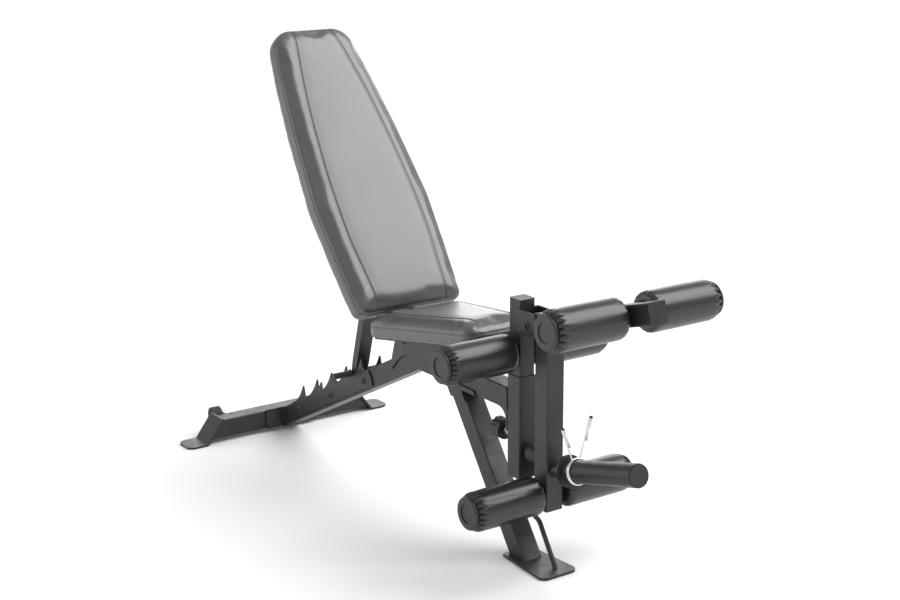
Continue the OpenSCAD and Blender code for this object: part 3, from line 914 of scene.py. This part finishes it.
    def build(self, palette: Palette) -> None:
        """Builds the pad, its stitching and its piping, and puts them on their body.

        Args:
            palette: the finishes.
        """
        pad = self.block()
        self.stuff(pad)
        self.sew(pad)
        surface = BVHTree.FromObject(pad, bpy.context.evaluated_depsgraph_get())
        verts, faces = self.stitches(surface)
        thread = new_piece(self.name + "_stitching", verts, faces)
        piping = self.welt(surface)
        for piece in (pad, thread, piping):
            set_coordinates(piece, self.to_bench(coordinates(piece)))
            recalculate(piece)
            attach(piece, self.body)
        palette.dress(pad, Slot.PAD)
        palette.dress(piping, Slot.PAD)
        palette.dress(thread, Slot.PAD)
        thread.data.materials[0] = palette.thread
        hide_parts(*self.nodes)
        LOG.info("%s: %d faces, %d stitches", self.name, len(pad.data.polygons), len(faces) // 17)


def recalculate(piece: bpy.types.Object) -> None:
    """Turns a closed piece's faces outwards.

    Args:
        piece: a mesh object.
    """
    mesh = bmesh.new()
    mesh.from_mesh(piece.data)
    bmesh.ops.recalc_face_normals(mesh, faces=mesh.faces)
    mesh.to_mesh(piece.data)
    mesh.free()
    piece.data.update()


def smooth_line(points: list, step: float = 0.01) -> np.ndarray:
    """Draws a smooth line through points in a plane (Catmull-Rom).

    Args:
        points: the points it passes through.
        step: the rough distance between samples, in metres.

    Returns:
        One row for each sample.
    """
    pts = [np.array(p, float) for p in points]
    pts = [2 * pts[0] - pts[1], *pts, 2 * pts[-1] - pts[-2]]
    out = []
    for p0, p1, p2, p3 in zip(pts, pts[1:], pts[2:], pts[3:]):
        count = max(2, int(np.linalg.norm(p2 - p1) / step))
        for t in np.linspace(0, 1, count, endpoint=False):
            out.append(0.5 * (2 * p1 + (p2 - p0) * t + (2 * p0 - 5 * p1 + 4 * p2 - p3) * t * t
                              + (3 * p1 - p0 - 3 * p2 + p3) * t ** 3))
    out.append(pts[-2])
    return np.array(out)


def mirrored(line: list) -> list:
    """Returns a line's points on the other side of the bench."""
    return [(s, -y) for s, y in line]


@dataclass
class Upholstery:
    """The back pad and the seat pad, placed from the frame's own joints, in place of their CAD nodes."""

    back_angle: float = 53.3
    hinge_s: float = -0.0637
    hinge_r: float = 0.057
    back_len: float = 0.762
    seat_pitch: float = 8.2
    seat_len: float = 0.346
    seat_rear: float = 0.1335
    seat_front: float = 0.092
    seat_corner: tuple = (-0.4026, 0.4266)
    seat_thickness: float = 0.050
    seat_overlap: float = 0.009
    seat_rear_round: float = 0.016
    seat_front_round: float = 0.034

    def back(self, frame: dict) -> Cushion:
        """Describes the back pad.

        Args:
            frame: the loaded frame.

        Returns:
            The pad, ready to build.
        """
        hinge = next(j for j in frame["joints"] if j["name"] == "back_recline")["pos_m"]
        a = math.radians(180 - self.back_angle)
        along = Vector((math.cos(a), 0, math.sin(a)))
        rear = Vector((-math.sin(a), 0, math.cos(a)))
        foot = Vector(hinge) - along * self.hinge_s - rear * self.hinge_r
        stations = [
            (0.015, 0.147, 0.020), (0.048, 0.151, 0.022), (0.158, 0.158, 0.040), (0.280, 0.163, 0.040),
            (0.475, 0.147, 0.040), (0.613, 0.130, 0.040), (self.back_len - 0.062, 0.115, 0.062),
        ]
        circles = [(s, side * (half - r), r) for s, half, r in stations for side in (-1, 1)]
        seam = [(-0.001, 0.096), (0.10, 0.104), (0.20, 0.111), (0.36, 0.107), (0.54, 0.090),
                (0.67, 0.069), (self.back_len - 0.006, 0.052)]
        seams = [smooth_line(seam), smooth_line(mirrored(seam))]
        return Cushion("back_cushion", "backrest", ("back_pad",), foot, along, rear, circles, seams, 0.052)

    def seat(self, frame: dict) -> Cushion:
        """Describes the seat pad.

        Args:
            frame: the loaded frame.

        Returns:
            The pad, ready to build.
        """
        a = math.radians(self.seat_pitch)
        along = Vector((math.cos(a), 0, math.sin(a)))
        rear = Vector((math.sin(a), 0, -math.cos(a)))
        lever = next(j for j in frame["joints"] if j["name"] == "lever_swing")["pos_m"]
        post_x = lever[0] - POST_BEHIND_PIVOT
        corner = Vector((post_x + self.seat_corner[0], 0, self.seat_corner[1]))
        corner = corner - rear * self.seat_thickness - along * self.seat_overlap
        circles = []
        for side in (-1, 1):
            small, large = self.seat_rear_round, self.seat_front_round
            circles.append((small, side * (self.seat_rear - small), small))
            circles.append((self.seat_len - large, side * (self.seat_front - large), large))
        seam = [(0.004, 0.098), (0.10, 0.086), (0.22, 0.066), (0.30, 0.050), (0.326, 0.052), (0.342, 0.064)]
        seams = [smooth_line(seam), smooth_line(mirrored(seam))]
        return Cushion("seat_cushion", "frame", ("seat_pad",), corner, along, rear, circles, seams, 0.048,
                       rim=0.016, dome=0.009, dome_width=0.075, welt_at=0.021)

    def build(self, frame: dict, palette: Palette) -> None:
        """Builds both pads."""
        self.back(frame).build(palette)
        self.seat(frame).build(palette)


# --- Rollers ---------------------------------------------------------------------------------


@dataclass
class RollerSet:
    """Foam rollers in glossy vinyl, gathered under the cap at each end."""

    radius: float = 0.043
    bore: float = 0.0128
    gathers: int = 20
    tuck: float = 0.0085
    ripple: float = 0.00012
    ripple_from: float = 0.030
    proud: float = 0.0004
    sides: int = 216

    def profile(self, length: float) -> list:
        """Draws the cover's profile from one end of the bore to the other.

        Args:
            length: the roller's length, in metres.

        Returns:
            Stops of distance along the roller, radius and share of the gathers.
        """
        outer = [
            (0.0030, self.bore, 0.0), (0.0024, 0.024, 0.0), (0.0010, 0.0315, 0.25), (0.0008, 0.0345, 0.6),
            (0.0016, 0.0368, 0.9), (0.0030, 0.0386, 1.0), (0.0046, 0.0399, 1.0), (0.0064, 0.0410, 1.0),
            (0.0084, 0.0418, 0.95), (0.0104, 0.0424, 0.8), (0.0126, 0.0428, 0.5), (0.0150, 0.0430, 0.22),
            (0.0180, 0.0430, 0.08), (0.0240, 0.0430, 0.03), (0.0330, 0.0430, 0.0),
        ]
        inner = [
            (0.0030, self.bore, 0.0), (0.0016, 0.022, 0.0), (0.0010, 0.0280, 0.15), (0.0014, 0.0320, 0.3),
            (0.0026, 0.0355, 0.35), (0.0044, 0.0384, 0.35), (0.0068, 0.0406, 0.3), (0.0098, 0.0422, 0.2),
            (0.0134, 0.0430, 0.1), (0.0200, 0.0430, 0.04), (0.0300, 0.0430, 0.0),
        ]
        plain, rings = 0.042, 16
        middle = [(x, self.radius, 0.0) for x in np.linspace(plain, length - plain, rings)]
        return outer + middle + [(length - x, r, g) for x, r, g in reversed(inner)]

    def build_one(self, name: str, node: str, body: str, seed: int, palette: Palette) -> None:
        """Builds one roller in the place of its CAD node.

        Args:
            name: the piece's name.
            node: the CAD node it stands for.
            body: the body it turns with.
            seed: picks this roller's own wrinkles.
            palette: the finishes.
        """
        low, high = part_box(node)
        centre = (low + high) / 2
        length = high.y - low.y
        outer_end, inwards = (high.y, -1.0) if centre.y > 0 else (low.y, 1.0)
        rng = random.Random(seed)
        phases = [rng.uniform(-0.25, 0.25) for _ in range(self.gathers)]
        heights = [rng.uniform(0.55, 1.0) for _ in range(self.gathers)]
        ripples = []
        for _ in range(3):
            ripples.append((rng.randint(2, 5), rng.uniform(0, 6.28), rng.uniform(0.6, 1.0)))
        stops = self.profile(length)
        verts, faces = [], []
        for x, r, gather in stops:
            for k in range(self.sides):
                a = 2 * math.pi * k / self.sides
                cell = (a * self.gathers / (2 * math.pi) + 0.3 * math.sin(a + seed)) % self.gathers
                index = int(cell)
                fold = math.sin(math.pi * (cell % 1.0)) ** 0.6
                lump = -(1 - fold * (0.75 + 0.25 * heights[index])) * self.tuck * gather
                soft = sum(h * math.sin(n * a + p + 40 * x) for n, p, h in ripples) * self.ripple
                soft = soft if r > self.ripple_from else 0.0
                radius = min(r + lump + soft, self.radius + self.proud)
                shift = (phases[index] * 0.003 + 0.0012) * gather * fold
                y = outer_end + inwards * (x - shift)
                verts.append((centre.x + radius * math.cos(a), y, centre.z + radius * math.sin(a)))
        rows = len(stops)
        for i in range(rows - 1):
            for k in range(self.sides):
                m = (k + 1) % self.sides
                faces.append((i * self.sides + k, i * self.sides + m, (i + 1) * self.sides + m,
                              (i + 1) * self.sides + k))
        for k in range(self.sides):
            m = (k + 1) % self.sides
            faces.append(((rows - 1) * self.sides + k, (rows - 1) * self.sides + m, m, k))
        piece = new_piece(name, verts, faces)
        recalculate(piece)
        palette.dress(piece, Slot.ROLLER)
        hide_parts(node)
        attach(piece, body)

    def build(self, frame: dict, palette: Palette) -> None:
        """Builds all six rollers.

        Args:
            frame: the loaded frame.
            palette: the finishes.
        """
        nodes = sorted(name for name in frame["nodes"] if "_roller_" in name)
        for seed, node in enumerate(nodes):
            self.build_one(node.replace("_roller_", "_foam_"), node, node, seed + 7, palette)
        LOG.info("rollers: %d", len(nodes))


# --- Spring clip -----------------------------------------------------------------------------


@dataclass
class SpringClip:
    """A coil of chrome wire that grips the weight sleeve, with two hairpin handles."""

    wire: float = 0.0020
    sleeve: float = 0.025
    pitch: float = 0.0047
    start: float = 0.0265
    reach: float = 0.2284
    spread: float = 28.0
    slack: float = 0.0002
    bend: float = 0.0035
    right_height: float = 0.088
    left_height: float = 0.070
    return_share: float = 0.55
    coil_points: int = 76

    def handle(self, base: Vector, stem: Vector, fold: Vector, height: float) -> list:
        """Draws a hairpin: up the stem, over the top and part of the way back.

        Args:
            base: where the stem leaves the coil.
            stem: the stem's direction.
            fold: the direction that the hairpin turns over in.
            height: the stem's length, in metres.

        Returns:
            The hairpin's centre line.
        """
        line = [base + stem * (height * t) for t in (0.12, 0.4, 0.7, 1.0)]
        top = base + stem * height
        for k in range(1, 7):
            a = math.pi * k / 6
            line.append(top + fold * (self.bend * (1 - math.cos(a))) + stem * (self.bend * math.sin(a)))
        line.append(top + fold * (2 * self.bend) - stem * (height * self.return_share))
        return line

    def tip(self, line: list) -> bpy.types.Object:
        """Returns the dark plastic dip over a hairpin's top bend."""
        return tube_along("tip", line[4:10], [self.wire * 1.35] * 6, 12)

    def build(self, frame: dict, palette: Palette) -> None:
        """Builds the coil and its handles as one bent wire.

        Args:
            frame: the loaded frame.
            palette: the finishes.
        """
        mount = next(m for m in frame["record"]["mounts"] if m["name"] == "sleeve_mount")
        axis = Vector(mount["axis"]).normalized()
        base = Vector(mount["pos_m"]) + axis * (mount["dims"]["length_mm"] * MM / 2 - self.reach)
        side = Vector((0, 1, 0))
        up = axis.cross(side)
        coil = self.sleeve + self.wire + self.slack
        first = math.radians(self.spread)
        sweep = 4 * math.pi - 2 * first
        points = []
        for i in range(self.coil_points + 1):
            a = first + sweep * i / self.coil_points
            along = self.start + self.pitch * sweep / (2 * math.pi) * i / self.coil_points
            points.append(base + axis * along + (up * math.cos(a) + side * math.sin(a)) * coil)
        right_stem = (up * 0.90 + side * 0.40 + axis * 0.10).normalized()
        left_stem = (up * 0.98 - side * 0.18 - axis * 0.05).normalized()
        right = self.handle(points[0], right_stem, axis, self.right_height)
        left = self.handle(points[-1], left_stem, axis, self.left_height)
        wire = list(reversed(right)) + points + left
        piece = tube_along("spring_clip_wire", wire, [self.wire] * len(wire), 14)
        tips = join_pieces([self.tip(right), self.tip(left)], "spring_clip_tips")
        for part, slot in ((piece, Slot.CHROME), (tips, Slot.PLASTIC)):
            recalculate(part)
            palette.dress(part, slot)
            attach(part, "clip")
        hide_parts("spring_clip")
        LOG.info("spring clip: %.1f turns of wire", sweep / (2 * math.pi))


# --- Welds -----------------------------------------------------------------------------------


@dataclass
class Welds:
    """Weld beads along the joints of the frame, as rippled fillets under the paint."""

    bead: float = 0.0024
    step: float = 0.0016
    tube_side: float = 0.0245
    beam_weld: float = 0.021
    bracket_side: float = 0.0285
    foot_lean: float = 0.036
    foot_top: float = 0.0372
    rng: random.Random = field(default_factory=lambda: random.Random(5))

    def run(self, start: Vector, end: Vector) -> bpy.types.Object:
        """Lays one straight, rippled bead.

        Args:
            start: the bead's first point.
            end: the bead's last point.

        Returns:
            The bead.
        """
        length = (end - start).length
        count = max(4, int(length / self.step))
        points, radii = [], []
        for i in range(count + 1):
            t = i / count
            ripple = 0.82 + 0.18 * math.cos(math.pi * i) + self.rng.uniform(-0.07, 0.07)
            taper = min(1.0, 6 * min(t, 1 - t) + 0.35)
            points.append(start.lerp(end, t))
            radii.append(self.bead * ripple * taper)
        return tube_along("bead", points, radii, 7)

    def finish(self, beads: list, name: str, body: str, palette: Palette) -> None:
        """Joins beads, paints them and puts them on their body.

        Args:
            beads: the beads to join.
            name: the piece's name.
            body: the body it rides on.
            palette: the finishes.
        """
        piece = join_pieces(beads, name)
        recalculate(piece)
        palette.dress(piece, Slot.PAINT)
        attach(piece, body)

    def upright(self, x: float, y: float, low: float, high: float) -> bpy.types.Object:
        """Returns one upright bead at x and y, from height low to height high."""
        return self.run(Vector((x, y, low)), Vector((x, y, high)))

    def foot_beads(self) -> list:
        """Lays the beads between the rear cross tube and its bent feet.

        Returns:
            The beads.
        """
        low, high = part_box("rear_stabilizer")
        beads = []
        for side in (-1, 1):
            for x in (low.x + 0.003, high.x - 0.003):
                start = Vector((x, side * (high.y - 0.001), low.z + 0.003))
                end = Vector((x, side * (high.y - self.foot_lean), high.z - 0.002))
                beads.append(self.run(start, end))
            y = side * (high.y - self.foot_top)
            beads.append(self.run(Vector((low.x + 0.004, y, high.z)), Vector((high.x - 0.004, y, high.z))))
        return beads

    def build(self, palette: Palette) -> None:
        """Builds the beads of every welded body.

        Args:
            palette: the finishes.
        """
        saddle_low, saddle_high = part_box("saddle_bracket")
        post_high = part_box("insert_post")[1]
        bracket_low, bracket_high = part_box("pivot_bracket")
        beam_low, beam_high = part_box("seat_beam")
        receiver_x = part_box("receiver_tube")[0].x
        frame_beads = []
        for y in (-self.tube_side, self.tube_side):
            low, high = saddle_low.z + 0.006, saddle_high.z - 0.004
            frame_beads.append(self.upright(saddle_high.x, y * 1.02, low, high))
            low, high = beam_low.z + 0.004, beam_high.z - 0.004
            frame_beads.append(self.upright(receiver_x, y * 0.92, low, high))
        across = self.beam_weld
        frame_beads.append(
            self.run(Vector((receiver_x, -across, beam_high.z)), Vector((receiver_x, across, beam_high.z)))
        )
        frame_beads += self.foot_beads()
        self.finish(frame_beads, "frame_welds", "frame", palette)
        post_beads = []
        for y in (-self.bracket_side, self.bracket_side):
            low, high = bracket_low.z + 0.003, bracket_high.z - 0.003
            post_beads.append(self.upright(post_high.x, y * 0.68, low, high))
        self.finish(post_beads, "post_welds", "leg_post", palette)


# --- Details on the frame --------------------------------------------------------------------


@dataclass
class Details:
    """Small touches on CAD nodes that the record's slots don't tell apart."""

    def knurl_pin(self, frame: dict, palette: Palette) -> None:
        """Gives the strut's cross pin its knurled finish.

        Args:
            frame: the loaded frame.
            palette: the finishes.
        """
        pin = frame["nodes"]["strut_pin"]
        pin.data.materials.clear()
        pin.data.materials.append(palette.knurl)

    def round_edges(self, frame: dict) -> None:
        """Shades the curved faces of the CAD nodes smooth up to a small angle.

        Args:
            frame: the loaded frame.
        """
        for piece in frame["nodes"].values():
            select_only(piece)
            bpy.ops.object.shade_smooth_by_angle(angle=SMOOTH_ANGLE)

    def build(self, frame: dict, palette: Palette) -> None:
        """Adds every detail."""
        self.round_edges(frame)
        self.knurl_pin(frame, palette)


# --- Studio ----------------------------------------------------------------------------------


@dataclass
class Studio:
    """A pale floor, soft lights and the camera."""

    lens: float = 64.5
    shift_x: float = -0.03896
    shift_y: float = -0.00172
    floor_size: float = 80.0
    floor_gap: float = 0.0006
    ambient: float = 0.66
    key_strength: float = 2.3
    key_width: float = 0.85
    key_from: Vector = field(default_factory=lambda: Vector((0.3, 0.57, 0.77)))
    camera_from_post: Vector = field(default_factory=lambda: Vector((2.6525, -2.0121, 1.4899)))
    view: Vector = field(default_factory=lambda: Vector((-0.783, 0.565, -0.2605)))

    def floor(self) -> None:
        """Adds the floor, a pale matt sheet that takes the soft shadow."""
        bpy.ops.object.select_all(action="DESELECT")
        bpy.ops.mesh.primitive_plane_add(size=self.floor_size, location=(0, 0, -self.floor_gap))
        floor = bpy.context.active_object
        floor.name = "studio_floor"
        shader = Shader("studio_floor")
        cloud = shader.noise(1.5, 2.0)
        shader.set(Base_Color=shader.mix(cloud, (0.905, 0.905, 0.905), (0.925, 0.925, 0.925)), Roughness=0.9,
                   Specular_IOR_Level=0.1)
        floor.data.materials.append(shader.material)

    def light(self, name: str, place: tuple, aim: tuple, size: tuple, power: float) -> None:
        """Adds one soft rectangular light.

        Args:
            name: the light's name.
            place: where it stands.
            aim: the point it faces.
            size: its two sides, in metres.
            power: its power, in watts.
        """
        data = bpy.data.lights.new(name, "AREA")
        data.shape = "RECTANGLE"
        data.size, data.size_y = size
        data.energy = power
        light = bpy.data.objects.new(name, data)
        light.location = place
        light.rotation_euler = (Vector(aim) - Vector(place)).to_track_quat("-Z", "Y").to_euler()
        bpy.context.scene.collection.objects.link(light)

    def sun(self) -> None:
        """Adds the main light: broad and soft, from behind the bench on its right."""
        data = bpy.data.lights.new("key_sun", "SUN")
        data.energy = self.key_strength
        data.angle = self.key_width
        light = bpy.data.objects.new("key_sun", data)
        light.rotation_euler = (-self.key_from).to_track_quat("-Z", "Y").to_euler()
        bpy.context.scene.collection.objects.link(light)

    def lights(self) -> None:
        """Adds the soft surroundings and the lamps."""
        world = bpy.data.worlds.new("studio_world")
        world.use_nodes = True
        tree = world.node_tree
        background = tree.nodes["Background"]
        background.inputs[0].default_value = (1.0, 1.0, 1.0, 1.0)
        path = tree.nodes.new("ShaderNodeLightPath")
        level = tree.nodes.new("ShaderNodeMapRange")
        level.inputs["To Min"].default_value = self.ambient
        level.inputs["To Max"].default_value = 1.0
        tree.links.new(path.outputs["Is Camera Ray"], level.inputs["Value"])
        tree.links.new(level.outputs["Result"], background.inputs[1])
        bpy.context.scene.world = world
        self.sun()
        self.light("side_card", (-1.8, -3.2, 1.5), (-0.1, 0, 0.4), (3.0, 2.0), 24.0)
        self.light("back_card", (-3.4, 2.6, 1.5), (-0.1, 0, 0.5), (4.0, 2.4), 62.0)

    def camera(self, frame: dict) -> None:
        """Adds the camera.

        Args:
            frame: the loaded frame.
        """
        lever = next(j for j in frame["joints"] if j["name"] == "lever_swing")["pos_m"]
        post_x = lever[0] - POST_BEHIND_PIVOT
        data = bpy.data.cameras.new("camera")
        data.lens = self.lens
        data.sensor_width = 36.0
        data.shift_x = self.shift_x
        data.shift_y = self.shift_y
        data.clip_end = 100.0
        camera = bpy.data.objects.new("camera", data)
        camera.location = self.camera_from_post + Vector((post_x, 0, 0))
        camera.rotation_euler = self.view.to_track_quat("-Z", "Y").to_euler()
        bpy.context.scene.collection.objects.link(camera)
        bpy.context.scene.camera = camera

    def build(self, frame: dict) -> None:
        """Builds the whole studio.

        Args:
            frame: the loaded frame.
        """
        self.floor()
        self.lights()
        self.camera(frame)
        bpy.context.scene.view_settings.view_transform = "Standard"


def main() -> None:
    """Builds the looks around the frame."""
    logging.basicConfig(level=logging.INFO, format="%(name)s %(message)s")
    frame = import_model()
    palette = Palette()
    palette.dress_frame(frame)
    Details().build(frame, palette)
    Upholstery().build(frame, palette)
    RollerSet().build(frame, palette)
    SpringClip().build(frame, palette)
    Welds().build(palette)
    Studio().build(frame)


if __name__ == "__main__":
    main()
